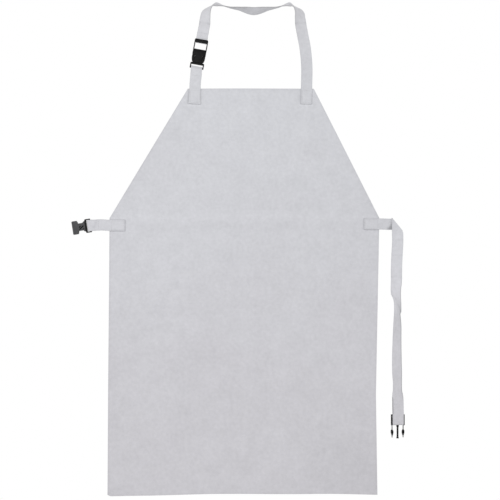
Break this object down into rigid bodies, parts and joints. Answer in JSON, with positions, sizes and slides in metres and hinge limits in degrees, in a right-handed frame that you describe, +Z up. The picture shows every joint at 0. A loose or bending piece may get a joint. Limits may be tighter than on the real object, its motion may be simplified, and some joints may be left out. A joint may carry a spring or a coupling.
{
  "type": "leather welding apron",
  "caption": "Hanging leather welding apron: a thin bib-and-skirt panel with sewn-on straps, a neck loop closed by a side-release buckle, and an open buckle on the waist strap and tie.",
  "frame": {"origin": "the inner face of the neck strap at the back of the neck loop, where the apron hangs", "axes": "+Z up, the front of the apron looks along -Y, +X to the right when facing the front"},
  "size_m": [0.7443, 0.1353, 1.1114],
  "materials": {
    "leather": "pale grey split leather, matt suede",
    "strap_leather": "pale grey split leather, cut in strips",
    "black_plastic": "moulded, satin black",
    "grey_plastic": "moulded, satin dark grey"
  },
  "bodies": {
    "root": {"apron_panel": "leather", "neck_strap_lower": "strap_leather", "neck_strap": "strap_leather", "waist_strap": "strap_leather", "waist_tie": "strap_leather", "neck_buckle_female": "black_plastic", "neck_buckle_male": "black_plastic", "waist_buckle_female": "grey_plastic", "waist_buckle_male": "grey_plastic"}
  },
  "joints": []
}
